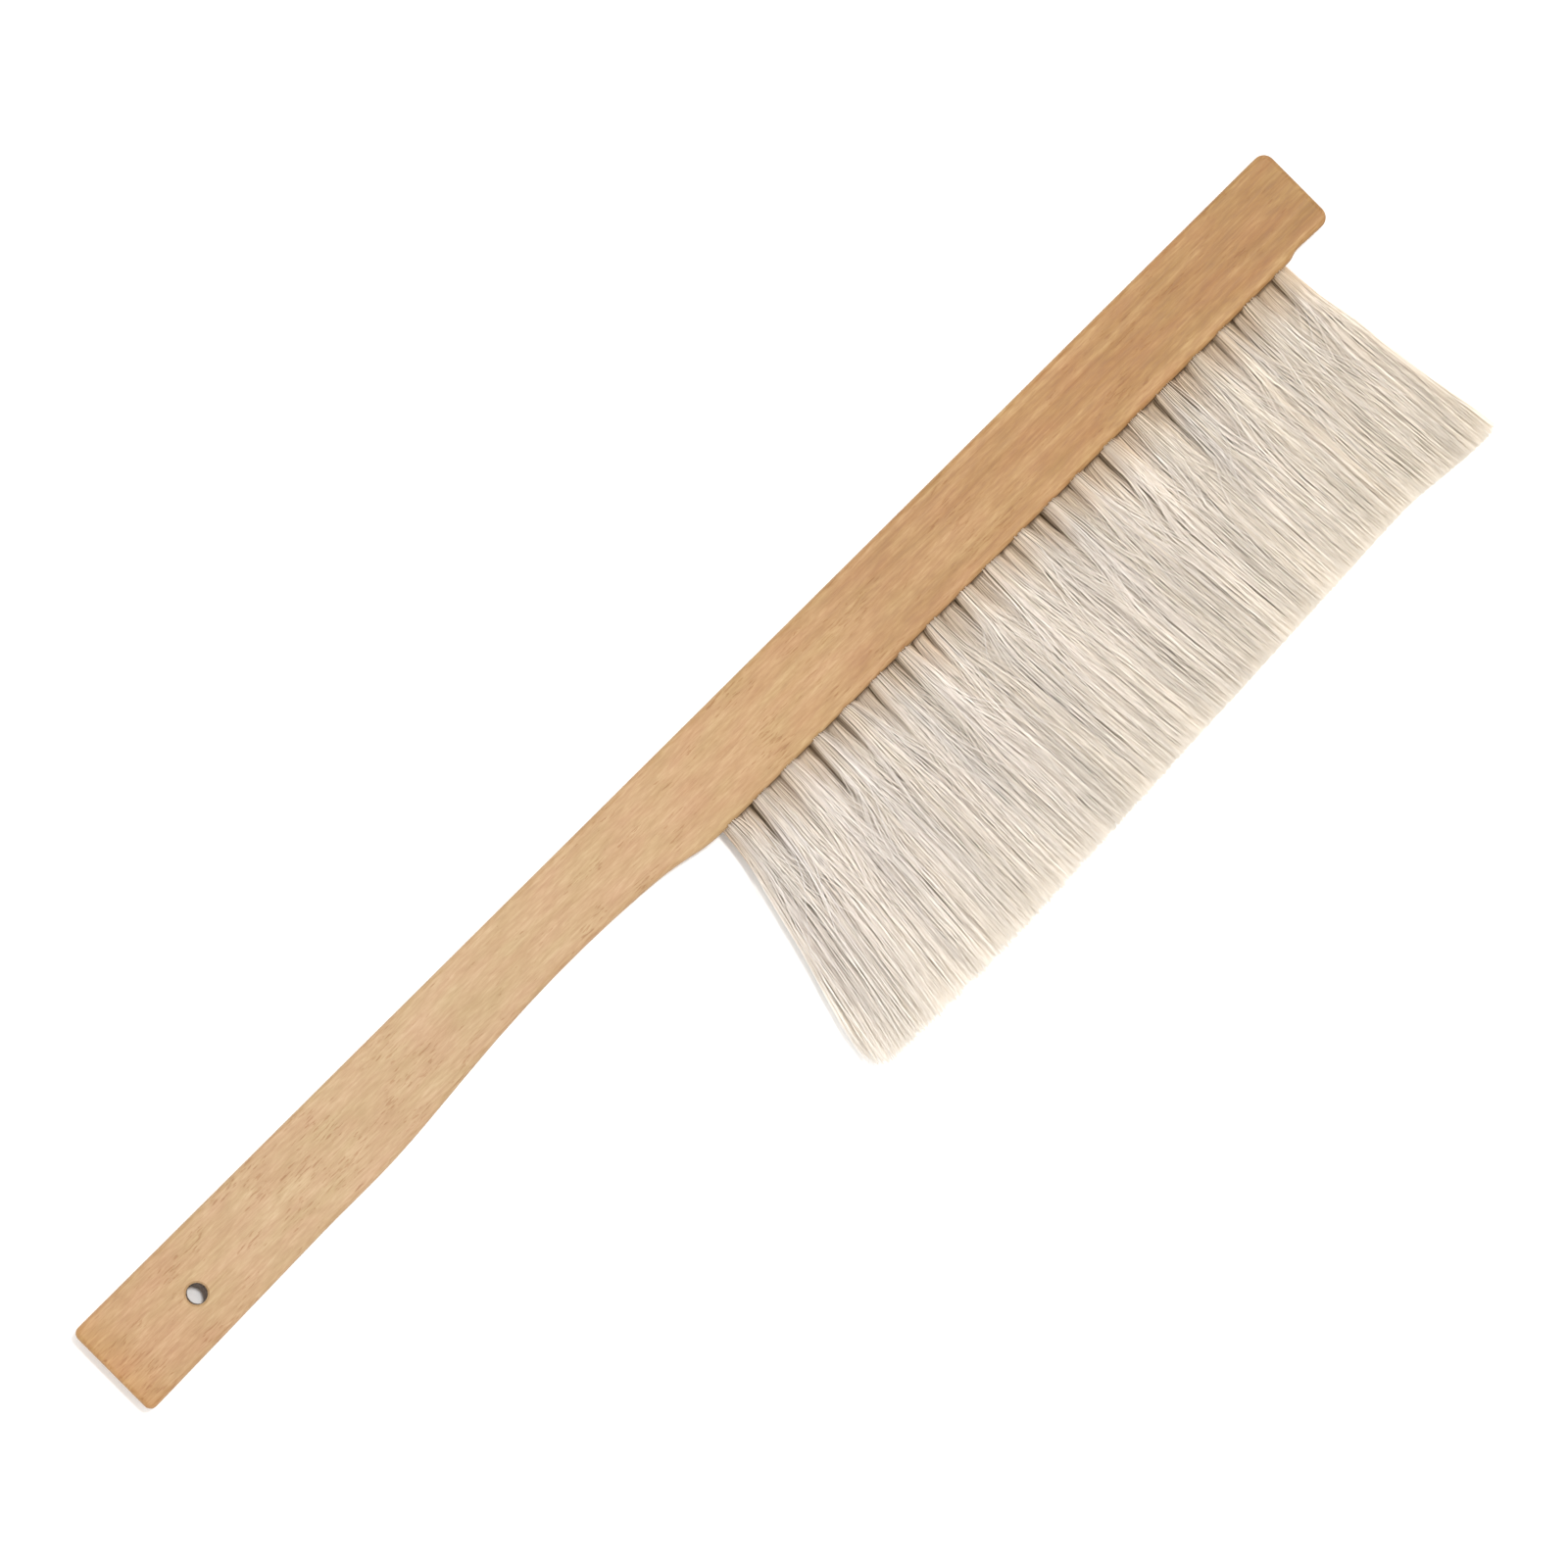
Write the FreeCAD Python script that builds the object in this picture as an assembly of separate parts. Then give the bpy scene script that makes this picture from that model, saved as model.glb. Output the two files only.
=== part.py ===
"""Bee brush: a one-piece wooden stock with two staggered rows of stapled hair tufts.

Frame: the brush lies on its flat side. +X runs from the butt of the handle to the
nose of the head, -Y is the way the hair points, +Z is up. The origin is the middle
of the bounding box, at the level of the underside. All sizes are in millimetres.

Shapes are laid out with "along" (distance from the butt), "down" (distance from the
straight back edge towards the hair tips) and "height" (above the underside).
"""
import FreeCAD
import Part
import math
import os

from collections import namedtuple
from FreeCAD import Vector

# Wooden stock
LENGTH = 410.0
THICKNESS = 14.0
BUTT_WIDTH = 27.2
BUTT_CORNER = 2.0
NOSE_WIDTH = 23.4
NOSE_CORNER = 3.0
EDGE_ROUND = 1.4

# Head edge, the long edge that carries the hair: two ends of one straight line
HEAD_START = 199.0
HEAD_START_WIDTH = 25.1
HEAD_END = 394.8
HEAD_END_WIDTH = 23.8
RELIEF_END = 399.2
RELIEF_WIDTH = 22.9

# Underside of the handle, from the end of the straight butt taper to the head
TAPER_END = 60.0
TAPER_END_WIDTH = 25.7
NECK_POINTS = [
    (84.0, 25.5),
    (104.0, 24.0),
    (124.0, 22.2),
    (156.0, 21.2),
    (172.0, 21.8),
    (187.0, 23.4),
]

# Hanging hole
HANG_ALONG = 28.4
HANG_DOWN = 14.6
HANG_RADIUS = 2.7
HANG_CHAMFER = 0.5

# Tuft holes, drilled into the head edge in two staggered rows
FRONT_COUNT = 20
BACK_COUNT = 19
PITCH = 10.0
FIRST_HOLE = 201.6
ROW_OFFSET = 2.8
HOLE_RADIUS = 2.7
HOLE_DEPTH = 11.0
DRILL_HALF_ANGLE = math.radians(59.0)

# Anchor staple: a U of round wire that pins the fold of a tuft into its hole
WIRE_RADIUS = 0.35
WIRE_FIT = 0.03
CROWN_HALF = 1.6
CROWN_BEND = 0.75
CROWN_ABOVE_FOLD = 2.2
LEG_BITE = 4.0
LEG_POINT = 0.9
LEG_POINT_RADIUS = 0.08
STAPLE_TURN = 45.0  # degrees

# Tufts: rounded plug in the hole, then a flare that meets its neighbours
PLUG_RADIUS = 2.65
PLUG_FOLD_ROUND = 1.2
PLUG_END_GAP = 0.2
MOUTH_HALF = 2.55
MOUTH_CORNER = 2.4
TIP_CORNER = 1.2
TUFT_GAP = 0.1
HAIR_CLEAR = 0.3

# The flare in steps: share of the hair length, share of the full spread
FLARE_STEPS = [(0.0, 0.0), (0.1, 0.45), (0.3, 0.85), (0.6, 0.95), (1.0, 1.0)]

# How far the tips lean along the brush, by where their roots stand
LEAN_POINTS = [(196.6, -12.0), (236.0, -0.5), (300.0, 6.0), (350.0, 3.0), (396.6, 5.4)]
LEAN_POWER = 1.4

# The trimmed line of the tips, measured down from the back edge
TIP_POINTS = [(184.0, 93.6), (225.0, 93.6), (312.0, 90.2), (374.0, 87.0), (402.0, 89.4)]

OVERALL_WIDTH = max(down for along, down in TIP_POINTS)
MIDDLE = THICKNESS / 2

# How far a cutter stands out of the wood, and how near counts as the same place
OVER = 1.0
TOUCH = 0.01

UP = Vector(0, 0, 1)
INWARD = Vector(0, 1, 0)


def at(along, down, height=0.0):
    """A point in the part's frame from its distances along, down and up."""
    return Vector(along - LENGTH / 2, OVERALL_WIDTH / 2 - down, height)


def between(points, along):
    """Straight-line value at a place along a short list of points."""
    first, last = points[0], points[-1]
    if along <= first[0]:
        return first[1]
    for low, high in zip(points, points[1:]):
        if along <= high[0]:
            share = (along - low[0]) / (high[0] - low[0])
            return low[1] + share * (high[1] - low[1])
    return last[1]


def head_edge(along):
    """How far down the head edge lies."""
    ends = [(HEAD_START, HEAD_START_WIDTH), (HEAD_END, HEAD_END_WIDTH)]
    return between(ends, along)


# ---------------------------------------------------------------- wooden stock

def line(start, end):
    return Part.LineSegment(start, end).toShape()


def smooth(points, start_tangent, end_tangent):
    """A curve through the points with the given directions at its ends."""
    curve = Part.BSplineCurve()
    curve.interpolate(Points=points, InitialTangent=start_tangent, FinalTangent=end_tangent)
    return curve.toShape()


def stock_outline():
    """Closed outline of the stock, with square corners."""
    back_butt = at(0, 0)
    back_nose = at(LENGTH, 0)
    nose = at(LENGTH, NOSE_WIDTH)
    relief = at(RELIEF_END, RELIEF_WIDTH)
    head_end = at(HEAD_END, HEAD_END_WIDTH)
    head_start = at(HEAD_START, HEAD_START_WIDTH)
    taper_end = at(TAPER_END, TAPER_END_WIDTH)
    butt = at(0, BUTT_WIDTH)
    taper = taper_end - butt
    head = head_end - head_start
    neck = [taper_end] + [at(*point) for point in NECK_POINTS] + [head_start]
    edges = [
        line(back_butt, back_nose),
        line(back_nose, nose),
        line(nose, relief),
        smooth([relief, head_end], relief - nose, -head),
        line(head_end, head_start),
        smooth(neck, taper, head),
        line(taper_end, butt),
        line(butt, back_butt),
    ]
    return Part.Wire(Part.__sortEdges__(edges))


def upright_edges(solid, along):
    """The edges that stand on Z at a place along the brush."""
    found = []
    for edge in solid.Edges:
        box = edge.BoundBox
        upright = box.XLength + box.YLength < TOUCH and box.ZLength > TOUCH
        if upright and abs(box.XMin - at(along, 0).x) < TOUCH:
            found.append(edge)
    return found


def face_edges(solid):
    """All edges that lie in the upper or the lower flat side."""
    found = []
    for edge in solid.Edges:
        box = edge.BoundBox
        level = box.ZLength < TOUCH
        if level and (abs(box.ZMin) < TOUCH or abs(box.ZMin - THICKNESS) < TOUCH):
            found.append(edge)
    return found


def make_blank():
    """The stock before drilling: sawn outline, rounded corners, eased edges."""
    blank = Part.Face(stock_outline()).extrude(UP * THICKNESS)
    blank = blank.makeFillet(BUTT_CORNER, upright_edges(blank, 0))
    blank = blank.makeFillet(NOSE_CORNER, upright_edges(blank, LENGTH))
    return blank.makeFillet(EDGE_ROUND, face_edges(blank))


def hang_hole_cutter():
    """Straight bore with a small chamfer at each mouth."""
    below = at(HANG_ALONG, HANG_DOWN, -OVER)
    above = at(HANG_ALONG, HANG_DOWN, THICKNESS + OVER)
    depth = HANG_CHAMFER + OVER
    wide = HANG_RADIUS + depth
    bore = Part.makeCylinder(HANG_RADIUS, THICKNESS + 2 * OVER, below, UP)
    lower = Part.makeCone(wide, HANG_RADIUS, depth, below, UP)
    upper = Part.makeCone(wide, HANG_RADIUS, depth, above, -UP)
    return [bore, lower, upper]


def tuft_hole_cutter(along, height):
    """Blind hole with a drill point, square to the head edge."""
    outside = at(along, head_edge(along) + OVER, height)
    bottom = at(along, head_edge(along) - HOLE_DEPTH, height)
    wall = Part.makeCylinder(HOLE_RADIUS, HOLE_DEPTH + OVER, outside, INWARD)
    point_depth = HOLE_RADIUS / math.tan(DRILL_HALF_ANGLE)
    point = Part.makeCone(HOLE_RADIUS, 0.0, point_depth, bottom, INWARD)
    return wall.fuse(point)


# -------------------------------------------------------------------- staples

def staple(along, height, radius):
    """A U of wire: the crown crosses the tuft, the legs point into the wood."""
    crown_down = head_edge(along) - HOLE_DEPTH + CROWN_ABOVE_FOLD
    leg = CROWN_ABOVE_FOLD + LEG_BITE
    side = CROWN_HALF
    bend = CROWN_BEND
    middle = bend * (1 - math.cos(math.pi / 4))
    path = Part.Wire([
        line(Vector(-side, leg, 0), Vector(-side, bend, 0)),
        Part.Arc(
            Vector(-side, bend, 0), Vector(-side + middle, middle, 0), Vector(-side + bend, 0, 0)
        ).toShape(),
        line(Vector(-side + bend, 0, 0), Vector(side - bend, 0, 0)),
        Part.Arc(
            Vector(side - bend, 0, 0), Vector(side - middle, middle, 0), Vector(side, bend, 0)
        ).toShape(),
        line(Vector(side, bend, 0), Vector(side, leg, 0)),
    ])
    section = Part.Wire(Part.makeCircle(radius, Vector(-side, leg, 0), -INWARD))
    wire = path.makePipeShell([section], True, True)
    for leg_side in (-side, side):
        leg_end = Vector(leg_side, leg, 0)
        wire = wire.fuse(Part.makeCone(radius, LEG_POINT_RADIUS, LEG_POINT, leg_end, INWARD))
    wire.rotate(Vector(0, 0, 0), INWARD, STAPLE_TURN)
    wire.translate(at(along, crown_down, height))
    return wire.removeSplitter()


# ---------------------------------------------------------------------- tufts

def tip_place(root_along):
    """Where a hair that is rooted here has its tip, along the brush."""
    return root_along + between(LEAN_POINTS, root_along)


def spread_place(root_along, length_share):
    """Where that hair is at a share of its length."""
    return root_along + between(LEAN_POINTS, root_along) * length_share ** LEAN_POWER


def flare_section(along_low, along_high, down, height_low, height_high, corner):
    """A rounded rectangle across the tuft, as a wire of four lines and four arcs."""
    inset = corner * (1 - math.cos(math.pi / 4))
    corners = [
        (along_low, height_low, 1, 1),
        (along_high, height_low, -1, 1),
        (along_high, height_high, -1, -1),
        (along_low, height_high, 1, -1),
    ]
    arcs = []
    for number, (x, z, step_x, step_z) in enumerate(corners):
        on_side = at(x, down, z + step_z * corner)
        on_base = at(x + step_x * corner, down, z)
        crest = at(x + step_x * inset, down, z + step_z * inset)
        start, end = (on_side, on_base) if number % 2 == 0 else (on_base, on_side)
        arcs.append((start, crest, end))
    edges = []
    for number, (start, crest, end) in enumerate(arcs):
        next_start = arcs[(number + 1) % len(arcs)][0]
        edges.append(Part.Arc(start, crest, end).toShape())
        edges.append(line(end, next_start))
    return Part.Wire(edges)


def mix(low, high, share):
    return low + (high - low) * share


def tuft_flare(along, row):
    """The free hair: a loft from the hole's mouth to the trimmed tip."""
    root = head_edge(along)
    tip = between(TIP_POINTS, tip_place(along))
    wires = []
    for length_share, spread in FLARE_STEPS:
        centre = spread_place(along, length_share)
        low = spread_place(along - PITCH / 2, length_share) + TUFT_GAP
        high = spread_place(along + PITCH / 2, length_share) - TUFT_GAP
        wires.append(flare_section(
            mix(centre - MOUTH_HALF, low, spread),
            mix(centre + MOUTH_HALF, high, spread),
            mix(root, tip, length_share),
            mix(row.height - MOUTH_HALF, row.hair_low, spread),
            mix(row.height + MOUTH_HALF, row.hair_high, spread),
            mix(MOUTH_CORNER, TIP_CORNER, spread),
        ))
    return Part.makeLoft(wires, True, True)


def tuft_plug(along, height):
    """The folded root that fills the hole, rounded where the hairs turn back."""
    length = HOLE_DEPTH - PLUG_END_GAP
    mouth = at(along, head_edge(along), height)
    plug = Part.makeCylinder(PLUG_RADIUS, length, mouth, INWARD)
    end = mouth.y + length
    fold_edge = [edge for edge in plug.Edges if abs(edge.BoundBox.Center.y - end) < TOUCH]
    return plug.makeFillet(PLUG_FOLD_ROUND, fold_edge)


def make_tuft(along, row):
    """One tuft, with a tunnel through its fold for the staple."""
    tuft = tuft_plug(along, row.height).fuse(tuft_flare(along, row))
    tuft = tuft.cut(staple(along, row.height, WIRE_RADIUS + WIRE_FIT))
    if len(tuft.Solids) != 1:
        raise ValueError("a tuft fell apart")
    return tuft.Solids[0]


# ------------------------------------------------------------------- assembly

FRONT_ROW = [FIRST_HOLE + number * PITCH for number in range(FRONT_COUNT)]
BACK_ROW = [FIRST_HOLE + (number + 0.5) * PITCH for number in range(BACK_COUNT)]

# Hole places, height of the holes, lowest and highest level of the hair
Row = namedtuple("Row", "name places height hair_low hair_high")
ROWS = [
    Row("front", FRONT_ROW, MIDDLE + ROW_OFFSET, MIDDLE + TUFT_GAP, THICKNESS - HAIR_CLEAR),
    Row("back", BACK_ROW, MIDDLE - ROW_OFFSET, HAIR_CLEAR, MIDDLE - TUFT_GAP),
]


def make_stock():
    """The blank with its hanging hole, tuft holes and staple pockets."""
    cutters = hang_hole_cutter()
    for row in ROWS:
        for along in row.places:
            cutters.append(tuft_hole_cutter(along, row.height))
            cutters.append(staple(along, row.height, WIRE_RADIUS + WIRE_FIT))
    stock = make_blank().cut(cutters)
    if len(stock.Solids) != 1:
        raise ValueError("the stock is not one solid")
    return stock.Solids[0]


def make_parts():
    """Every node's shape by name."""
    parts = {"handle_stock": make_stock()}
    for row in ROWS:
        staples = []
        for number, along in enumerate(row.places, start=1):
            parts[f"tuft_{row.name}_{number:02d}"] = make_tuft(along, row)
            staples.append(staple(along, row.height, WIRE_RADIUS))
        parts[f"staples_{row.name}_row"] = Part.makeCompound(staples)
    return parts


def main():
    os.makedirs("parts", exist_ok=True)
    for name, shape in make_parts().items():
        if not shape.isValid():
            raise ValueError(f"{name} is not a valid shape")
        shape.exportStep(f"parts/{name}.step")
        print(name, len(shape.Solids), round(shape.Volume, 1))


main()
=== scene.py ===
"""Looks of the bee brush: combed hair, grained wood and staple wire, on a white table."""
import math

import bpy
import numpy as np
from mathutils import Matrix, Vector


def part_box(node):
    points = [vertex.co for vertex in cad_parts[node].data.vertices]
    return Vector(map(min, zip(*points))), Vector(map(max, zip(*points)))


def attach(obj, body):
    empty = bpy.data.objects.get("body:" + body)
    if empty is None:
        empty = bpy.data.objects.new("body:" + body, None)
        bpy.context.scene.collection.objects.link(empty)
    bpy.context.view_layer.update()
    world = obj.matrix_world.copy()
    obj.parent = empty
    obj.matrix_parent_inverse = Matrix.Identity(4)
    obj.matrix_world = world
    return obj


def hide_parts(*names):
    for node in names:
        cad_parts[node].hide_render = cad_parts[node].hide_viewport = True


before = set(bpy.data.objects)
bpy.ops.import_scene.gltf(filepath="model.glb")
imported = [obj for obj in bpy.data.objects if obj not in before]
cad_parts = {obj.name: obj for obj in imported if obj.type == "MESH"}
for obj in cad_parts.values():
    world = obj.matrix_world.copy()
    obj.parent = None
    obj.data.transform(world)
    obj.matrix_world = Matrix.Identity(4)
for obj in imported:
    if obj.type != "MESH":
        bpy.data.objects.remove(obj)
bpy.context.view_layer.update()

MM = 0.001

# Camera: straight down on the flat side, the brush running up to the right
VIEW_ROLL = math.radians(44.8)
VIEW_WIDTH = 382.7 * MM            # what the frame shows at the height of the brush
VIEW_ALONG_BUTT = 217.8 * MM       # middle of the frame, from the butt
VIEW_BELOW_BACK = 27.3 * MM        # and from the back edge
CAMERA_HEIGHT = 6.0                # metres above the brush
SENSOR = 36.0                      # millimetres of film

TABLE_HALF = 30.0                  # metres, so that the table fills every view
TABLE_GAP = 0.05 * MM              # between the table and the brush

# In what follows a pair is a lowest and a highest value, unless its comment says otherwise.
# "Along" is along the slat, "lift" is square to the table, "depth" is from the slat to the tips.

# One hair: a closed tube
HAIRS = 560                        # in each tuft
SIDES = 4
HAIR_RADIUS = 0.09 * MM
HAIR_SPREAD = (0.8, 1.15)          # share of that radius, hair by hair
HAIR_TAPER = 0.45                  # share of its radius that a hair loses by its tip
FREE_RINGS = [0.0, 0.002, 0.02, 0.07, 0.15, 0.24, 0.33, 0.43, 0.53, 0.64, 0.76, 0.88, 1.0]

# A tuft in its hole
PLUG_LENGTH = 10.8 * MM            # from the mouth of the hole to the fold
BUNDLE_RADIUS = 2.65 * MM
FOLD_SHRINK = 0.8                  # its width at the fold, as a share of that at the mouth
SLICE = 0.2 * MM                   # how near its end a CAD vertex counts as the end

# A tuft just below the slat
FRONT_COLUMN = (1.7 * MM, 2.7 * MM)  # half its width along, at its highest hairs, front row
BACK_COLUMN = (1.0 * MM, 2.0 * MM)   # and back row
COLUMN_LENGTH = 0.06 * MM          # depth over which it takes that width
THICKEN_LENGTH = 0.06 * MM         # and over which the two rows meet in lift
DEEP_WIDER = 1.3                   # share by which its lowest hairs stand wider than its highest
ROOT_JITTER = 0.15 * MM            # how far each hair strays from its place along
ROOT_SHIFT = 0.7 * MM              # how far along a tuft is pushed at most, either way
BACK_SHIFT = -0.25 * MM            # and every tuft of the back row besides
ROOT_SLANT = 0.6 * MM              # how far along a tuft leans at most on its way, either way
BACK_SLANT = -0.55 * MM            # and every tuft of the back row besides
EDGE_FILL = 0.5 * MM               # how far the outer hairs reach back over the slat's rounded edge
EDGE_FILL_FROM = 0.75              # from this share of the way out to the highest hair
EDGE_FILL_OVER = 0.15              # and fully after this much more of it

# The wedges between neighbouring tufts, which close with depth, and the painted shade on the hairs that
# line them
WEDGE_WIDTH = 0.9 * MM             # what half a tuft gains along while the wedge beside it closes
WEDGE_LENGTH = (5 * MM, 17 * MM)
FLANK_START = 0.3                  # share of a tuft's half width outside which its hairs line a wedge and take painted shade
BACK_SHADE = 0.35                  # how far the back row's middle hairs take that painted shade as well

# The fan from there to the tips
SPLAY_START = (6 * MM, 20 * MM)    # depth where a tuft starts to widen
SPLAY_LENGTH = (16 * MM, 36 * MM)  # and over how much more depth it does
SPLAY_SPREAD = (0.8, 1.2)          # share of that length, hair by hair
LEAN_POWER = 1.4                   # how late along its length a hair leans
TIP_OVERLAP = 1.25                 # width of a tuft's tips, as a share of its CAD tip
TIP_JITTER = 1.3 * MM              # how far a tip strays along
ROW_MIX = 0.75                     # how far the tips of the two rows share each other's lift
LIFT_JITTER = 0.5 * MM             # how far a tip strays in lift
END_ROUND = 0.8                    # how much the comb thins out in lift at its two ends

# Locks: hairs that run together. A wave is its size, its shortest and its longest length.
LOCKS = 44                         # in each tuft
LOCK_PULL = 0.04                   # share of the way that a hair is drawn to its lock's middle
LOCK_GATHERED = 0.4                # share of the length by which that is done
LOCK_PARTS = 0.45                  # share of the length where locks begin to part
LOCK_PARTS_OVER = 0.4              # and over how much more of it they do
LOCK_PARTED = 0.9                  # share of the pull that is gone at the tip
LOCK_DRIFT = 0.3 * MM              # how far a lock's tips stray along together
LOCK_WAVE = (0.18 * MM, 24 * MM, 50 * MM)
HAIR_WAVE = (0.24 * MM, 12 * MM, 28 * MM)  # along
HAIR_WEAVE = (0.3 * MM, 9 * MM, 20 * MM)   # in lift
WAVES_FULL = 0.25                  # share of the length by which waves have their size

# The trimmed line of the tips. Pairs are for the butt end and the nose end.
TRIM_ABOVE = 0.85 * MM             # how far short of the CAD tips hairs are cut
TRIM_NOISE = (1.0 * MM, 0.3 * MM)  # how ragged the cut is
TRIM_NOISE_PLACES = [0.25, 0.55]   # up to and from these shares of the comb
CORNER_ROUND = (4.0 * MM, 0.7 * MM)  # radius of the comb's lower corners
SHORT_SHARE = 0.25                 # share of the hairs that end short of the cut
SHORT_LENGTH = 4.0 * MM            # and by how much on average

# Strays: loose hairs that cross the others
STRAY_SHARE = 0.11                 # of all hairs
STRAY_LEAN = 5.5 * MM              # how far their tips stray along
STRAY_LIFT = 2.5 * MM              # how far they rise, at most
STRAY_RISEN = 0.4                  # share of the length by which they have
STRAY_ROOM = 1.0 * MM              # how far they may pass the comb's sides
STRAY_ROOM_FULL = 0.3              # share of the length by which they may pass it so far

# Limits of all hair
HAIR_LOW = 0.25 * MM
HAIR_HIGH = 14.8 * MM
EDGE_MARGIN = 1.0 * MM             # how near a limit hairs begin to crowd

# The comb's two sides: shares of its depth, and of the way from the hole's rim to the tip
BUTT_SIDE = [
    (0.0, 0.03), (0.1, 0.05), (0.29, 0.18), (0.51, 0.43), (0.66, 0.65), (0.8, 0.84), (0.88, 0.95),
    (1.0, 0.98),
]
NOSE_SIDE = [
    (0.0, -0.02), (0.1, -0.02), (0.2, 0.05), (0.32, 0.22), (0.5, 0.39), (0.7, 0.63), (0.86, 0.92),
    (0.95, 1.05), (1.0, 1.08),
]

# How much a hair's tone is its lock's, its own, and lighter for being stray
LOCK_TONE = 0.5
OWN_TONE = 0.5
STRAY_TONE = 0.3


# ------------------------------------------------------------------ materials

def srgb(red, green, blue):
    """A screen colour, 0 to 255, as Blender's linear colour."""
    shares = [value / 255 for value in (red, green, blue)]
    linear = [s / 12.92 if s <= 0.04045 else ((s + 0.055) / 1.055) ** 2.4 for s in shares]
    return (*linear, 1.0)


class Shader:
    """One material, with short calls for its nodes."""

    def __init__(self, name):
        self.material = bpy.data.materials.new(name)
        self.material.use_nodes = True
        self.tree = self.material.node_tree
        self.tree.nodes.clear()
        self.surface = self.node("BsdfPrincipled")
        output = self.node("OutputMaterial")
        self.tree.links.new(self.surface.outputs["BSDF"], output.inputs["Surface"])

    def node(self, kind, inputs=(), **settings):
        made = self.tree.nodes.new("ShaderNode" + kind)
        for key, value in settings.items():
            setattr(made, key, value)
        for key, value in dict(inputs).items():
            self.feed(made.inputs[key], value)
        return made

    def feed(self, socket, value):
        if isinstance(value, bpy.types.NodeSocket):
            self.tree.links.new(value, socket)
        else:
            socket.default_value = value

    def set(self, **values):
        """Values or links for the surface's own sockets; _ stands for a space."""
        for key, value in values.items():
            self.feed(self.surface.inputs[key.replace("_", " ")], value)

    def calc(self, operation, first, second=0.0, clamp=False):
        made = self.node("Math", operation=operation, use_clamp=clamp)
        self.feed(made.inputs[0], first)
        self.feed(made.inputs[1], second)
        return made.outputs[0]

    def span(self, value, low, high, to_low=0.0, to_high=1.0, smooth=False):
        """The value moved from one range to another, and held inside it."""
        made = self.node(
            "MapRange",
            {"Value": value, "From Min": low, "From Max": high, "To Min": to_low, "To Max": to_high},
            interpolation_type="SMOOTHSTEP" if smooth else "LINEAR",
        )
        return made.outputs["Result"]

    def ramp(self, value, stops):
        made = self.node("ValToRGB", {"Fac": value})
        elements = made.color_ramp.elements
        while len(elements) < len(stops):
            elements.new(0.5)
        for element, (place, colour) in zip(elements, stops):
            element.position = place
            element.color = colour
        return made.outputs["Color"]

    def shade(self, colour, factor):
        """The colour made darker or lighter by a grey factor."""
        made = self.node("VectorMath", operation="SCALE")
        self.feed(made.inputs[0], colour)
        self.feed(made.inputs["Scale"], factor)
        return made.outputs[0]

    def deepened(self, colour, factor):
        """The colour made darker and richer, or paler, as wood is along its grain."""
        power = self.calc("ADD", 1.0, self.calc("MULTIPLY", self.calc("SUBTRACT", 1.0, factor), 0.8))
        return self.node("Gamma", {"Color": colour, "Gamma": power}).outputs["Color"]

    def tinted(self, colour, tint):
        """The colour seen through a tint."""
        made = self.node("VectorMath", operation="MULTIPLY")
        self.feed(made.inputs[0], colour)
        self.feed(made.inputs[1], tint)
        return made.outputs[0]

    def blend(self, share, first, second):
        made = self.node("Mix", data_type="RGBA")
        for number, value in zip((0, 6, 7), (share, first, second)):
            self.feed(made.inputs[number], value)
        return made.outputs[2]

    def placed(self, size, shift=(0.0, 0.0, 0.0)):
        """Object coordinates in units of a feature's size in millimetres."""
        coordinates = self.node("TexCoord").outputs["Object"]
        scale = [1 / (MM * length) for length in size]
        mapping = self.node("Mapping", {"Vector": coordinates, "Scale": scale, "Location": shift})
        return mapping.outputs["Vector"]

    def noise(self, size, detail=2.0, shift=(0.0, 0.0, 0.0), distortion=0.0):
        made = self.node(
            "TexNoise",
            {"Vector": self.placed(size, shift), "Scale": 1.0, "Detail": detail,
             "Distortion": distortion},
        )
        return made.outputs["Fac"]

    def wavering(self, value, depth):
        """A brightness around one that follows a noise, as strongly as the depth says."""
        return self.calc("ADD", 1.0, self.calc("MULTIPLY", self.calc("SUBTRACT", value, 0.5), depth))

    def attribute(self, name):
        return self.node("Attribute", attribute_name=name).outputs["Fac"]


# The slat's tone from butt to nose
WOOD_TONES = [
    (0.000, srgb(155, 118, 77)),
    (0.025, srgb(155, 123, 90)),
    (0.12, srgb(161, 135, 105)),
    (0.30, srgb(161, 135, 105)),
    (0.44, srgb(161, 132, 100)),
    (0.57, srgb(157, 125, 89)),
    (0.66, srgb(147, 113, 76)),
    (0.80, srgb(148, 112, 72)),
    (1.00, srgb(141, 106, 65)),
]

PORE_BROWN = srgb(125, 81, 44)

# Where the slat's pores are thickest: distance from the butt, and how far that goes
PORE_STRETCHES = [(4 * MM, 10 * MM), (64 * MM, 22 * MM), (100 * MM, 34 * MM), (243 * MM, 20 * MM)]


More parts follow.
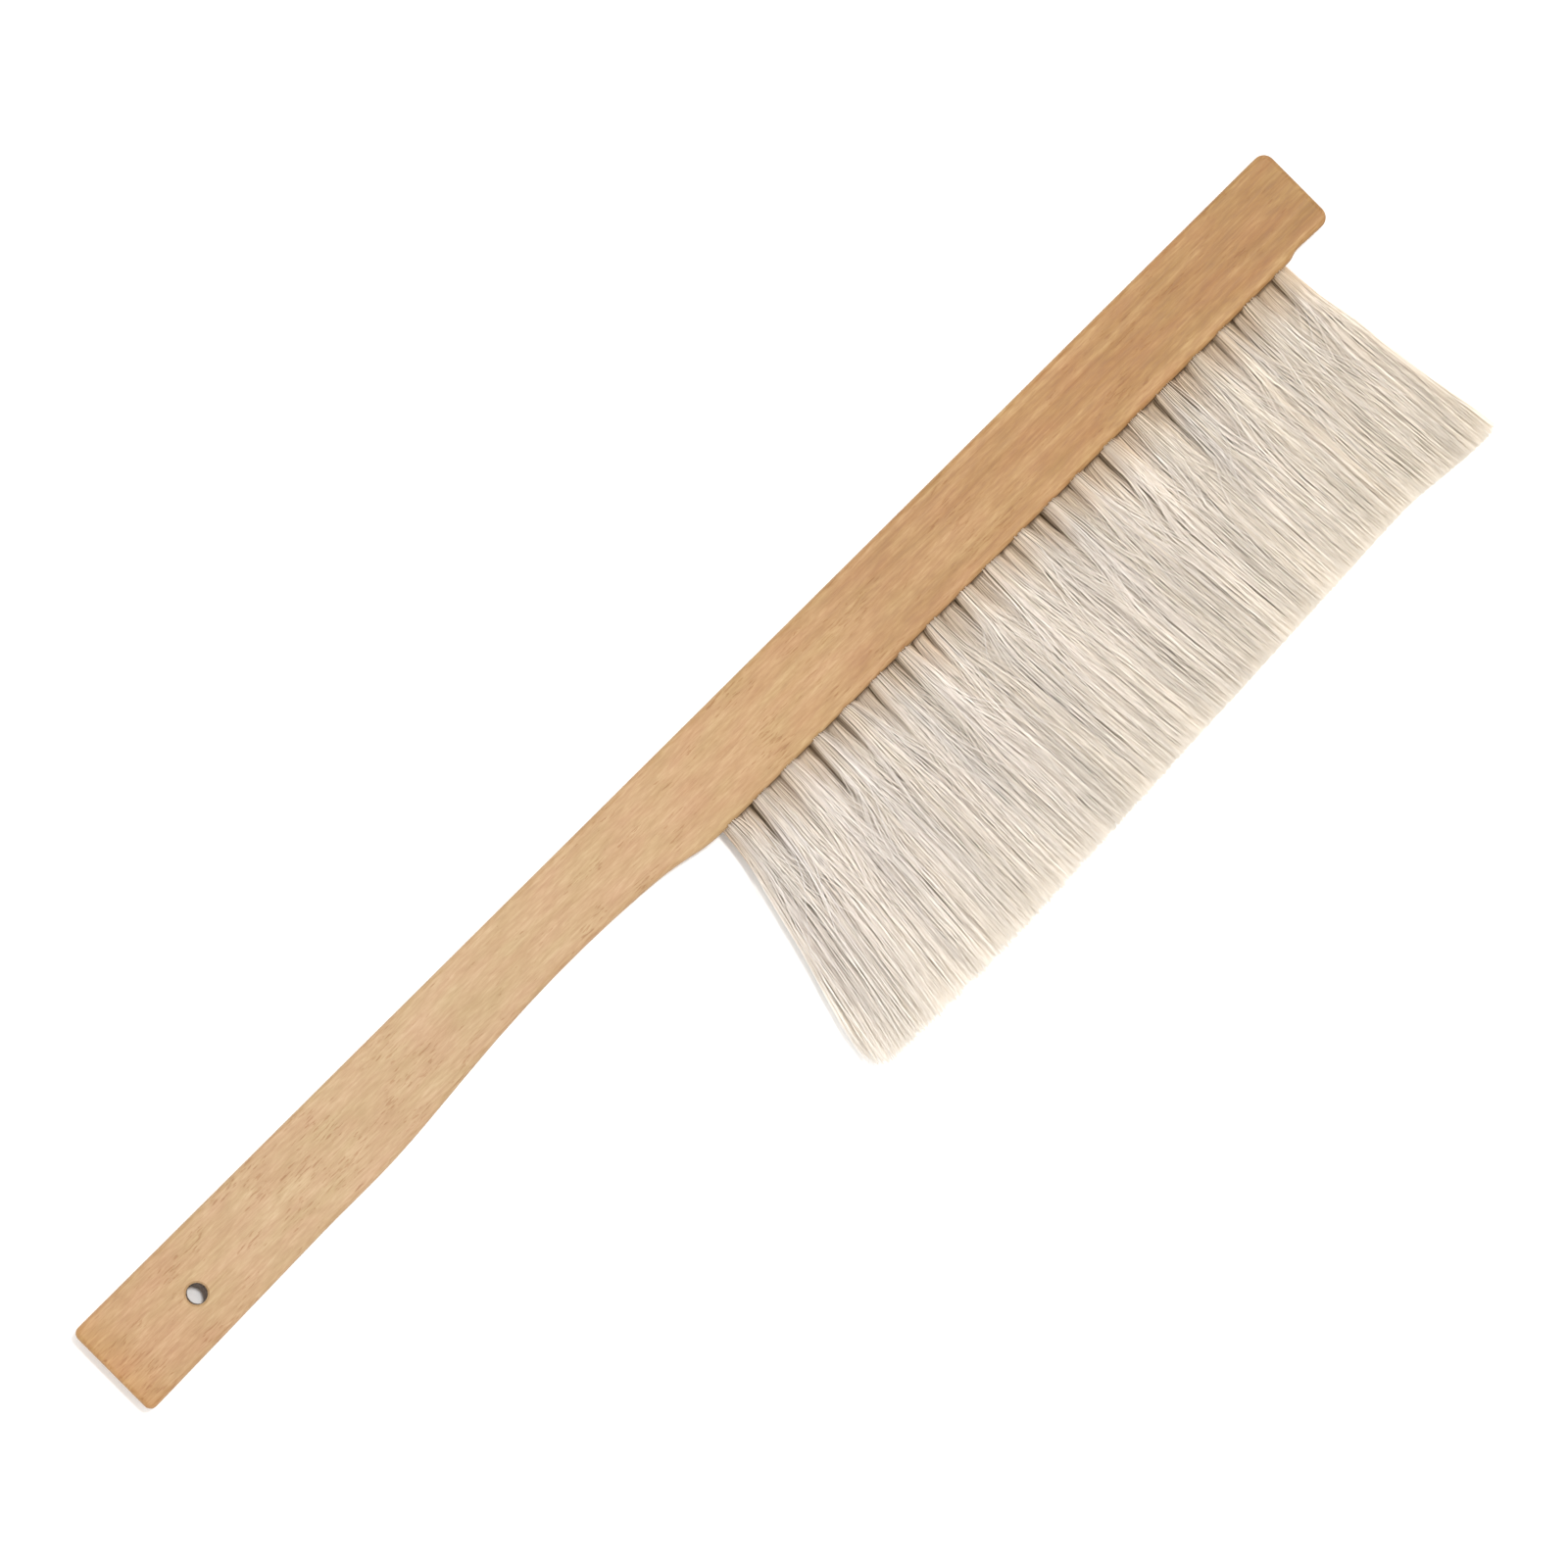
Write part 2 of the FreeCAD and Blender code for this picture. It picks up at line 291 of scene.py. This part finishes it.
def make_wood():
    """Sanded pale hardwood: mottle, growth lines, fibres and clustered dark pores along X."""
    wood = Shader("wood_grain")
    low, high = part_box("handle_stock")
    place = wood.node("SeparateXYZ", {"Vector": wood.node("TexCoord").outputs["Object"]})
    share = wood.span(place.outputs["X"], low.x, high.x)
    colour = wood.ramp(share, WOOD_TONES)

    # patches a few millimetres wide, leaning to pink or to yellow
    mottle = wood.noise((9, 3.0, 3.0), detail=3.0, shift=(4.0, 2.0, 6.0))
    hue = wood.noise((14, 5.0, 5.0), detail=2.0, shift=(8.0, 3.0, 1.0))
    tint = wood.ramp(hue, [(0.3, srgb(255, 247, 243)), (0.7, srgb(251, 252, 240))])
    colour = wood.tinted(colour, tint)

    # growth bands and thin wavy lines along the slat, strongest on the head
    figure = wood.noise((120, 3.6, 3.6), detail=3.0, shift=(3.1, 7.7, 2.0), distortion=0.9)
    lines = wood.noise((90, 1.1, 1.1), detail=2.0, shift=(5.0, 2.5, 7.0), distortion=0.9)
    head = wood.span(share, 0.5, 0.75)
    figure_depth = wood.span(head, 0.0, 1.0, 0.16, 0.6)
    line_depth = wood.span(head, 0.0, 1.0, 0.12, 0.34)
    shading = wood.wavering(figure, figure_depth)
    shading = wood.calc("MULTIPLY", shading, wood.wavering(lines, line_depth))
    shading = wood.calc("MULTIPLY", shading, wood.span(mottle, 0.25, 0.75, 0.92, 1.08))

    # fibres a few millimetres long
    fibre = wood.noise((3.5, 0.55, 0.55), detail=3.0, shift=(9.0, 1.0, 5.0), distortion=0.2)
    shading = wood.calc("MULTIPLY", shading, wood.span(fibre, 0.25, 0.75, 0.83, 1.17))

    # pores: thin streaks a few millimetres long, gathered in patches
    streak = wood.noise((3.5, 0.5, 0.5), detail=2.0, shift=(2.0, 6.0, 3.0), distortion=0.4)
    patches = wood.noise((12, 5.0, 5.0), detail=1.0, shift=(1.0, 4.0, 8.0))
    for middle, reach in PORE_STRETCHES:
        away = wood.calc("ABSOLUTE", wood.calc("SUBTRACT", place.outputs["X"], low.x + middle))
        patches = wood.calc("ADD", patches, wood.span(away, 0.3 * reach, reach, 0.08, 0.0, smooth=True))
    limit = wood.span(patches, 0.45, 0.68, 0.73, 0.56)
    pores = wood.calc("MULTIPLY", wood.calc("SUBTRACT", streak, limit), 14.0, clamp=True)
    colour = wood.blend(wood.calc("MULTIPLY", pores, 0.42), colour, PORE_BROWN)

    height = wood.calc("SUBTRACT", wood.calc("MULTIPLY", fibre, 0.4), pores)
    bump = wood.node("Bump", {"Height": height, "Strength": 0.5, "Distance": 0.06 * MM})
    wood.set(
        Base_Color=wood.deepened(colour, shading),
        Roughness=wood.span(fibre, 0.3, 0.7, 0.5, 0.66),
        Normal=bump.outputs["Normal"],
        Specular_IOR_Level=0.35,
    )
    return wood.material


# A hair's tone, from the darkest hair to the palest
HAIR_TONES = [
    (0.00, srgb(226, 219, 209)),
    (0.30, srgb(229, 222, 216)),
    (0.70, srgb(230, 225, 219)),
    (1.00, srgb(232, 228, 224)),
]
WARM_TINT = srgb(255, 251, 244)
COOL_TINT = srgb(253, 251, 251)

# What that leans to near the wood (partly painted shade), low in the comb and in the wedges (painted
# shade), at the tips and at the nose
ROOT_BROWN_AND_SHADE = srgb(186, 156, 118)
LOW_SHADE_CREAM = srgb(214, 192, 162)
LOW_SHADE_BROWN = srgb(183, 151, 113)
WEDGE_SHADE_BROWN = srgb(165, 132, 94)
TIP_CREAM = srgb(246, 239, 227)
NOSE_TINT = (0.97, 0.955, 0.915, 1.0)
NO_TINT = (1.0, 1.0, 1.0, 1.0)


def make_hair_material():
    """Bleached hair: each hair its own tone, browner at the root (partly painted shade) and paler at
    the tip, with painted shade low in the comb and in the wedges.
    """
    hair = Shader("bleached_hair")
    reach = hair.attribute("reach")
    place = hair.node("SeparateXYZ", {"Vector": hair.node("TexCoord").outputs["Object"]})
    along = hair.span(place.outputs["X"], SIDE_LOW, SIDE_HIGH)
    colour = hair.ramp(hair.attribute("tone"), HAIR_TONES)
    tint = hair.ramp(hair.attribute("warmth"), [(0.0, WARM_TINT), (1.0, COOL_TINT)])
    colour = hair.tinted(colour, tint)

    # browner near the wood, and more so towards the nose: partly the hair's own colour, partly painted
    # shade under the slat's edge
    stronger = hair.span(place.outputs["X"], SIDE_LOW, SIDE_HIGH, 0.72, 1.25)
    root = hair.calc("MULTIPLY", stronger, hair.span(reach, 0.0, 0.2, 0.42, 0.0, smooth=True))
    colour = hair.blend(root, colour, ROOT_BROWN_AND_SHADE)

    # painted shade low in the comb: lower hairs creamier and darker all along, and browner still near
    # the wood
    low = hair.span(place.outputs["Z"], 6 * MM, 13.5 * MM, 0.95, 0.0)
    low_root_shade = hair.calc("MULTIPLY", low, hair.span(reach, 0.0, 0.3, 1.0, 0.0, smooth=True))
    colour = hair.blend(hair.calc("MULTIPLY", low, 0.35), colour, LOW_SHADE_CREAM)
    colour = hair.blend(low_root_shade, colour, LOW_SHADE_BROWN)

    # painted shade where hairs line a wedge between tufts
    gap = hair.calc("MULTIPLY", stronger, hair.calc("MULTIPLY", hair.attribute("gap"), 0.33))
    colour = hair.blend(gap, colour, WEDGE_SHADE_BROWN)

    # paler towards the tips, more so towards the butt
    pale = hair.span(place.outputs["X"], SIDE_LOW, SIDE_HIGH, 0.45, 0.35)
    pale = hair.calc("MULTIPLY", pale, hair.span(reach, 0.55, 1.0))
    colour = hair.blend(pale, colour, TIP_CREAM)
    colour = hair.tinted(colour, hair.ramp(along, [(0.0, NO_TINT), (1.0, NOSE_TINT)]))

    # darker and lighter strokes along a hair, broad bands and narrow clumps across the comb
    strokes = hair.noise((0.45, 3.4, 0.45), detail=2.0)
    bands = hair.noise((7.0, 60.0, 40.0), detail=1.0)
    clumps = hair.noise((2.8, 45.0, 40.0), detail=1.0, shift=(3.0, 5.0, 1.0))
    shading = hair.span(strokes, 0.3, 0.7, 0.96, 1.03)
    shading = hair.calc("MULTIPLY", shading, hair.span(bands, 0.3, 0.7, 0.94, 1.06))
    shading = hair.calc("MULTIPLY", shading, hair.span(clumps, 0.3, 0.7, 0.93, 1.07))
    hair.set(
        Base_Color=hair.shade(colour, shading),
        Roughness=hair.span(strokes, 0.3, 0.7, 0.45, 0.6),
        Specular_IOR_Level=0.3,
    )
    return hair.material


def make_wire_material():
    """Drawn steel wire with faint streaks along it."""
    wire = Shader("drawn_steel_wire")
    streak = wire.noise((0.15, 2.0, 0.15), detail=3.0)
    wire.set(
        Base_Color=wire.ramp(streak, [(0.3, srgb(150, 150, 148)), (0.7, srgb(192, 192, 190))]),
        Metallic=1.0,
        Roughness=wire.span(streak, 0.3, 0.7, 0.25, 0.45),
    )
    return wire.material


def make_table_material():
    table = Shader("white_table")
    fine = table.noise((3, 3, 3), detail=2.0)
    table.set(
        Base_Color=(0.93, 0.93, 0.93, 1.0),
        Roughness=table.span(fine, 0.3, 0.7, 0.6, 0.7),
        Specular_IOR_Level=0.2,
    )
    return table.material


# ----------------------------------------------------------------------- hair

def mesh_points(node):
    """The vertices of a CAD node as rows of x, y, z."""
    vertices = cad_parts[node].data.vertices
    points = np.empty(len(vertices) * 3)
    vertices.foreach_get("co", points)
    return points.reshape(-1, 3)


class Tuft:
    """Where one tuft's CAD solid leaves its hole and where its tip is."""

    def __init__(self, node):
        points = mesh_points(node)
        down = points[:, 1]
        tip = points[down < down.min() + SLICE]
        plug = points[down > down.max() - SLICE]
        self.node = node
        self.root_x = (plug[:, 0].min() + plug[:, 0].max()) / 2
        self.root_z = (plug[:, 2].min() + plug[:, 2].max()) / 2
        self.mouth_y = down.max() - PLUG_LENGTH
        self.tip_y = down.min()
        self.tip_low = tip.min(axis=0)
        self.tip_high = tip.max(axis=0)
        self.tip_x = (self.tip_low[0] + self.tip_high[0]) / 2
        self.tip_z = (self.tip_low[2] + self.tip_high[2]) / 2


TUFTS = [Tuft(node) for node in sorted(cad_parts) if node.startswith("tuft_")]
MIDDLE_Z = sum(corner.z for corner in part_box("handle_stock")) / 2
FIRST, LAST = (pick(TUFTS, key=lambda tuft: tuft.root_x) for pick in (min, max))
SIDE_LOW = FIRST.tip_low[0]
SIDE_HIGH = LAST.tip_high[0]


def trimmed_y(tip_x, random):
    """Where hairs end: just short of the CAD tips, more raggedly towards the butt."""
    by_place = sorted((tuft.tip_x, tuft.tip_y) for tuft in TUFTS)
    places, levels = zip(*by_place)
    level = np.interp(tip_x, places, levels) + TRIM_ABOVE
    corner = 0.0
    for inside, radius in zip((tip_x - SIDE_LOW, SIDE_HIGH - tip_x), CORNER_ROUND):
        into_corner = np.clip(radius - inside, 0.0, radius)
        corner = corner + radius - np.sqrt(radius ** 2 - into_corner ** 2)
    along = (tip_x - SIDE_LOW) / (SIDE_HIGH - SIDE_LOW)
    noise = np.interp(along, TRIM_NOISE_PLACES, TRIM_NOISE)
    short = random.random(HAIRS) < SHORT_SHARE
    return (level + corner + random.normal(0, 1, HAIRS) * noise
            + short * random.exponential(SHORT_LENGTH, HAIRS))


def side_limit(tuft, rim_x, tip_x, profile, y):
    """The comb's side at each y, on its way from the rim of an end tuft's hole to its tip."""
    share = np.clip((tuft.mouth_y - y) / (tuft.mouth_y - tuft.tip_y), 0, 1)
    return rim_x + (tip_x - rim_x) * np.interp(share, *zip(*profile))


def pressed(gap):
    """A distance from a limit, eased so that it never falls below nothing."""
    near = np.minimum(gap, EDGE_MARGIN)
    return np.where(gap < EDGE_MARGIN, EDGE_MARGIN * np.exp(near / EDGE_MARGIN - 1), gap)


def held(value, low, high):
    """The value kept softly between two limits."""
    value = low + pressed(value - low)
    return high - pressed(high - value)


def ease(share):
    """A smooth step from 0 to 1."""
    share = np.clip(share, 0.0, 1.0)
    return share * share * (3 - 2 * share)


def bundle_points(random):
    """Evenly packed places in a unit disc, and where the same hairs end in a unit square."""
    number = np.arange(HAIRS)
    radius = np.sqrt((number + 0.5) / HAIRS)
    angle = number * math.pi * (3 - math.sqrt(5)) + random.uniform(0, 2 * math.pi)
    disc = radius * np.cos(angle), radius * np.sin(angle)
    stretch = 1 / np.maximum(np.abs(np.cos(angle)), np.abs(np.sin(angle)))
    return disc, (disc[0] * stretch, disc[1] * stretch)


def waves(random, count, amplitude, shortest, longest, y):
    """A wave for each row of y, each with its own size, length and phase."""
    length = random.uniform(shortest, longest, (count, 1))
    phase = random.uniform(0, 2 * math.pi, (count, 1))
    size = amplitude * random.normal(0, 1, (count, 1))
    return size * np.sin(2 * math.pi * y / length + phase)


def hair_lines(tuft, random):
    """Centre lines of a tuft's free hair by hair and ring: x, y, z, and how much painted shade they
    take for lining a wedge.

    Also the lock that each hair belongs to, and which hairs are strays.
    """
    (disc_x, disc_z), (square_x, square_z) = bundle_points(random)
    front = tuft.tip_z > MIDDLE_Z
    at_end = tuft in (FIRST, LAST)
    outward = np.clip(-square_x if tuft is FIRST else square_x, 0, 1) * at_end

    # across the tuft: where its hairs stand just below the wood
    column = random.uniform(*(FRONT_COLUMN if front else BACK_COLUMN)) * square_x
    column = column * (1 + DEEP_WIDER * (1 - square_z) / 2) + random.normal(0, ROOT_JITTER, HAIRS)
    column = np.where(outward > 0, BUNDLE_RADIUS * square_x, column)

    # and at their tips
    stray = random.random(HAIRS) < STRAY_SHARE
    half_x = (tuft.tip_high[0] - tuft.tip_low[0]) / 2 * TIP_OVERLAP
    half_z = (tuft.tip_high[2] - tuft.tip_low[2]) / 2 * (1 + ROW_MIX)
    centre_z = tuft.tip_z + ROW_MIX * (MIDDLE_Z - tuft.tip_z)
    end_x = half_x * square_x + random.normal(0, TIP_JITTER, HAIRS)
    end_z = centre_z + (MIDDLE_Z - centre_z) * outward
    end_z += half_z * square_z * np.sqrt(1 - END_ROUND * outward ** 2)
    end_z += random.normal(0, LIFT_JITTER, HAIRS)

    # each hair belongs to the lock whose seed is nearest
    seeds = random.uniform(-1, 1, (LOCKS, 2))
    away = (square_x[:, None] - seeds[:, 0]) ** 2 + (square_z[:, None] - seeds[:, 1]) ** 2
    lock = away.argmin(axis=1)
    end_x += random.normal(0, LOCK_DRIFT, LOCKS)[lock]
    end_x += stray * random.normal(0, STRAY_LEAN, HAIRS)

    # down the tuft: how far it has widened and leaned at each ring
    share = np.array(FREE_RINGS)[None, :]
    depth = share * (tuft.mouth_y - tuft.tip_y)
    start = random.uniform(*SPLAY_START)
    length = random.uniform(*SPLAY_LENGTH) * random.uniform(*SPLAY_SPREAD, (HAIRS, 1))
    splay = ease((depth - start) / length)
    widen = 1 - np.exp(-depth / COLUMN_LENGTH)
    thicken = 1 - np.exp(-depth / THICKEN_LENGTH)
    lean = (tuft.tip_x - tuft.root_x) * share ** LEAN_POWER
    slant = random.uniform(-ROOT_SLANT, ROOT_SLANT) + (0.0 if front else BACK_SLANT)
    lean = lean + slant * np.sin(math.pi * share ** 0.5)
    shift = random.uniform(-ROOT_SHIFT, ROOT_SHIFT) + (0.0 if front else BACK_SHIFT)
    column += shift * (not at_end)

    # the wedges on its two sides close at depths of their own
    wedge = np.where(square_x < 0, *random.uniform(*WEDGE_LENGTH, 2))[:, None]
    gain = (WEDGE_WIDTH * square_x)[:, None]
    # how far each hair lines a wedge, as painted shade that fades as the wedge closes
    flank = ease((np.abs(square_x) - FLANK_START) / (1 - FLANK_START)) * (outward == 0)
    flank = flank if front else BACK_SHADE + (1 - BACK_SHADE) * flank
    gap = flank[:, None] * np.clip(1 - depth / wedge, 0, 1)

    root_x = (BUNDLE_RADIUS * disc_x)[:, None]
    root_z = (tuft.root_z + BUNDLE_RADIUS * disc_z)[:, None]
    near_x = root_x + (column[:, None] - root_x) * widen + gain * np.clip(depth / wedge, 0, 1)
    x = tuft.root_x + near_x + (end_x[:, None] - column[:, None] - gain) * splay + lean
    z = root_z + (end_z[:, None] - root_z) * thicken
    z += (stray * random.uniform(0, STRAY_LIFT, HAIRS))[:, None] * ease(share / STRAY_RISEN)
    end_y = trimmed_y(np.clip(x[:, -1], SIDE_LOW, SIDE_HIGH), random)
    y = tuft.mouth_y + (end_y - tuft.mouth_y)[:, None] * share

    # the hairs of a lock draw together below the wood and part again near the tips
    parting = LOCK_PARTED * ease((share - LOCK_PARTS) / LOCK_PARTS_OVER)
    pull = LOCK_PULL * ease(share / LOCK_GATHERED) * (1 - parting)
    free = ease(share / WAVES_FULL)
    wave_x = waves(random, LOCKS, *LOCK_WAVE, depth)
    wave_z = waves(random, LOCKS, *LOCK_WAVE, depth)
    for number in range(LOCKS):
        members = (lock == number) & ~stray
        if members.any():
            x[members] += (x[members].mean(axis=0) - x[members]) * pull + wave_x[number] * free
            z[members] += (z[members].mean(axis=0) - z[members]) * pull + wave_z[number] * free
    x += waves(random, HAIRS, *HAIR_WAVE, y) * free
    z += waves(random, HAIRS, *HAIR_WEAVE, y) * free

    # nothing leaves the comb's outline but strays, and those by little
    room = (STRAY_ROOM * stray * random.random(HAIRS))[:, None] * ease(share / STRAY_ROOM_FULL)
    low_side = side_limit(FIRST, FIRST.root_x - BUNDLE_RADIUS, SIDE_LOW, BUTT_SIDE, y)
    high_side = side_limit(LAST, LAST.root_x + BUNDLE_RADIUS, SIDE_HIGH, NOSE_SIDE, y)
    x = held(x, low_side - room, high_side + room)
    z = held(z, HAIR_LOW, HAIR_HIGH)

    # the outer hairs of each row bulge back against the slat's rounded edge
    outer = np.clip(np.abs(z[:, 1] - MIDDLE_Z) / (HAIR_HIGH - MIDDLE_Z), 0, 1)
    y[:, 1] += EDGE_FILL * ease((outer - EDGE_FILL_FROM) / EDGE_FILL_OVER)
    return x, y, z, gap, lock, stray


def with_root(tuft, x, y, z):
    """The same lines continued into the hole, down to the fold under the staple."""
    root_x = tuft.root_x + (x[:, :1] - tuft.root_x) * FOLD_SHRINK
    root_z = tuft.root_z + (z[:, :1] - tuft.root_z) * FOLD_SHRINK
    root_y = np.full_like(root_x, tuft.mouth_y + PLUG_LENGTH)
    return np.hstack([root_x, x]), np.hstack([root_y, y]), np.hstack([root_z, z])


def tube_faces(hairs, rings):
    """Faces of closed tubes whose corners are numbered hair by hair, ring by ring."""
    side = np.arange(SIDES)
    following = (side + 1) % SIDES
    ring = np.arange(rings - 1)[:, None] * SIDES
    walls = np.stack(
        [ring + side, ring + following, ring + SIDES + following, ring + SIDES + side], axis=-1
    ).reshape(-1, 4)
    caps = np.vstack([side[::-1], (rings - 1) * SIDES + side])
    start = np.arange(hairs)[:, None, None] * rings * SIDES
    return [*(walls + start).reshape(-1, 4).tolist(), *(caps + start).reshape(-1, SIDES).tolist()]


def add_attribute(mesh, name, values):
    """A number for each corner, for the material to read."""
    layer = mesh.attributes.new(name, "FLOAT", "POINT")
    layer.data.foreach_set("value", values.astype(np.float32).ravel())


def make_tuft_hair(tuft, seed, material):
    """The hair of one tuft as one piece, in the place of its CAD solid."""
    random = np.random.default_rng(seed)
    free_x, free_y, free_z, gap, lock, stray = hair_lines(tuft, random)
    x, y, z = with_root(tuft, free_x, free_y, free_z)
    reach = np.array([0.0] + FREE_RINGS)
    rings = len(reach)
    thickness = HAIR_RADIUS * random.uniform(*HAIR_SPREAD, (HAIRS, 1)) * (1 - HAIR_TAPER * reach ** 2)
    angle = 2 * math.pi * (np.arange(SIDES) + random.random((HAIRS, 1))) / SIDES
    ring_x = x[..., None] + thickness[..., None] * np.cos(angle)[:, None, :]
    ring_z = z[..., None] + thickness[..., None] * np.sin(angle)[:, None, :]
    ring_y = np.broadcast_to(y[..., None], ring_x.shape)
    corners = np.stack([ring_x, ring_y, ring_z], axis=-1).reshape(-1, 3)

    name = tuft.node.replace("tuft_", "hair_")
    mesh = bpy.data.meshes.new(name)
    mesh.from_pydata(corners.tolist(), [], tube_faces(HAIRS, rings))
    mesh.shade_smooth()
    tone = LOCK_TONE * random.random(LOCKS)[lock] + OWN_TONE * random.random(HAIRS)
    tone = tone + STRAY_TONE * stray
    shape = (HAIRS, rings, SIDES)
    add_attribute(mesh, "tone", np.broadcast_to(tone[:, None, None], shape))
    add_attribute(mesh, "warmth", np.broadcast_to(random.random(LOCKS)[lock][:, None, None], shape))
    add_attribute(mesh, "reach", np.broadcast_to(reach[None, :, None], shape))
    # the painted wedge shade, for the material to read
    add_attribute(mesh, "gap", np.broadcast_to(np.hstack([gap[:, :1], gap])[..., None], shape))
    mesh.materials.append(material)
    piece = bpy.data.objects.new(name, mesh)
    bpy.context.scene.collection.objects.link(piece)
    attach(piece, "root")
    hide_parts(tuft.node)


# ---------------------------------------------------------------------- stage

def repaint(node, material):
    """A CAD node keeps its mesh and takes a new material."""
    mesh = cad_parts[node].data
    mesh.materials.clear()
    mesh.materials.append(material)


def make_table():
    """A plain white table top just below the brush."""
    low, high = -TABLE_HALF, TABLE_HALF
    mesh = bpy.data.meshes.new("table")
    corners = [(low, low, 0), (high, low, 0), (high, high, 0), (low, high, 0)]
    mesh.from_pydata(corners, [], [(0, 1, 2, 3)])
    mesh.materials.append(make_table_material())
    table = bpy.data.objects.new("table", mesh)
    table.location.z = -TABLE_GAP
    bpy.context.scene.collection.objects.link(table)


def make_sun(name, strength, spread, turn, tilt):
    """A far lamp: its spread is how wide it looks, its turn and tilt lead it off straight overhead."""
    light = bpy.data.lights.new(name, "SUN")
    light.energy = strength
    light.angle = math.radians(spread)
    lamp = bpy.data.objects.new(name, light)
    lamp.rotation_euler = (0, math.radians(tilt), math.radians(turn))
    bpy.context.scene.collection.objects.link(lamp)


def make_world():
    """Even white surroundings: soft light from all round, pure white behind the table."""
    world = bpy.data.worlds.new("studio")
    world.use_nodes = True
    light = world.node_tree.nodes["Background"]
    light.inputs["Color"].default_value = (1.0, 0.99, 0.97, 1.0)
    light.inputs["Strength"].default_value = 1.2
    bpy.context.scene.world = world


def make_camera():
    """Far above the brush with a long lens, so that the view is nearly parallel."""
    low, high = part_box("handle_stock")
    data = bpy.data.cameras.new("camera")
    data.sensor_width = SENSOR
    data.lens = SENSOR * CAMERA_HEIGHT / VIEW_WIDTH
    camera = bpy.data.objects.new("camera", data)
    camera.location = (
        low.x + VIEW_ALONG_BUTT,
        high.y - VIEW_BELOW_BACK,
        high.z + CAMERA_HEIGHT,
    )
    camera.rotation_euler = (0, 0, -VIEW_ROLL)
    bpy.context.scene.collection.objects.link(camera)
    bpy.context.scene.camera = camera


def main():
    make_camera()
    make_world()
    make_sun("key", strength=1.84, spread=4.0, turn=0.0, tilt=10.0)
    make_sun("side", strength=0.42, spread=30.0, turn=0.0, tilt=42.0)
    make_table()
    repaint("handle_stock", make_wood())
    wire = make_wire_material()
    for row in ("staples_front_row", "staples_back_row"):
        repaint(row, wire)
    hair = make_hair_material()
    for seed, tuft in enumerate(TUFTS):
        make_tuft_hair(tuft, seed, hair)
    bpy.context.scene.view_settings.view_transform = "Standard"


main()
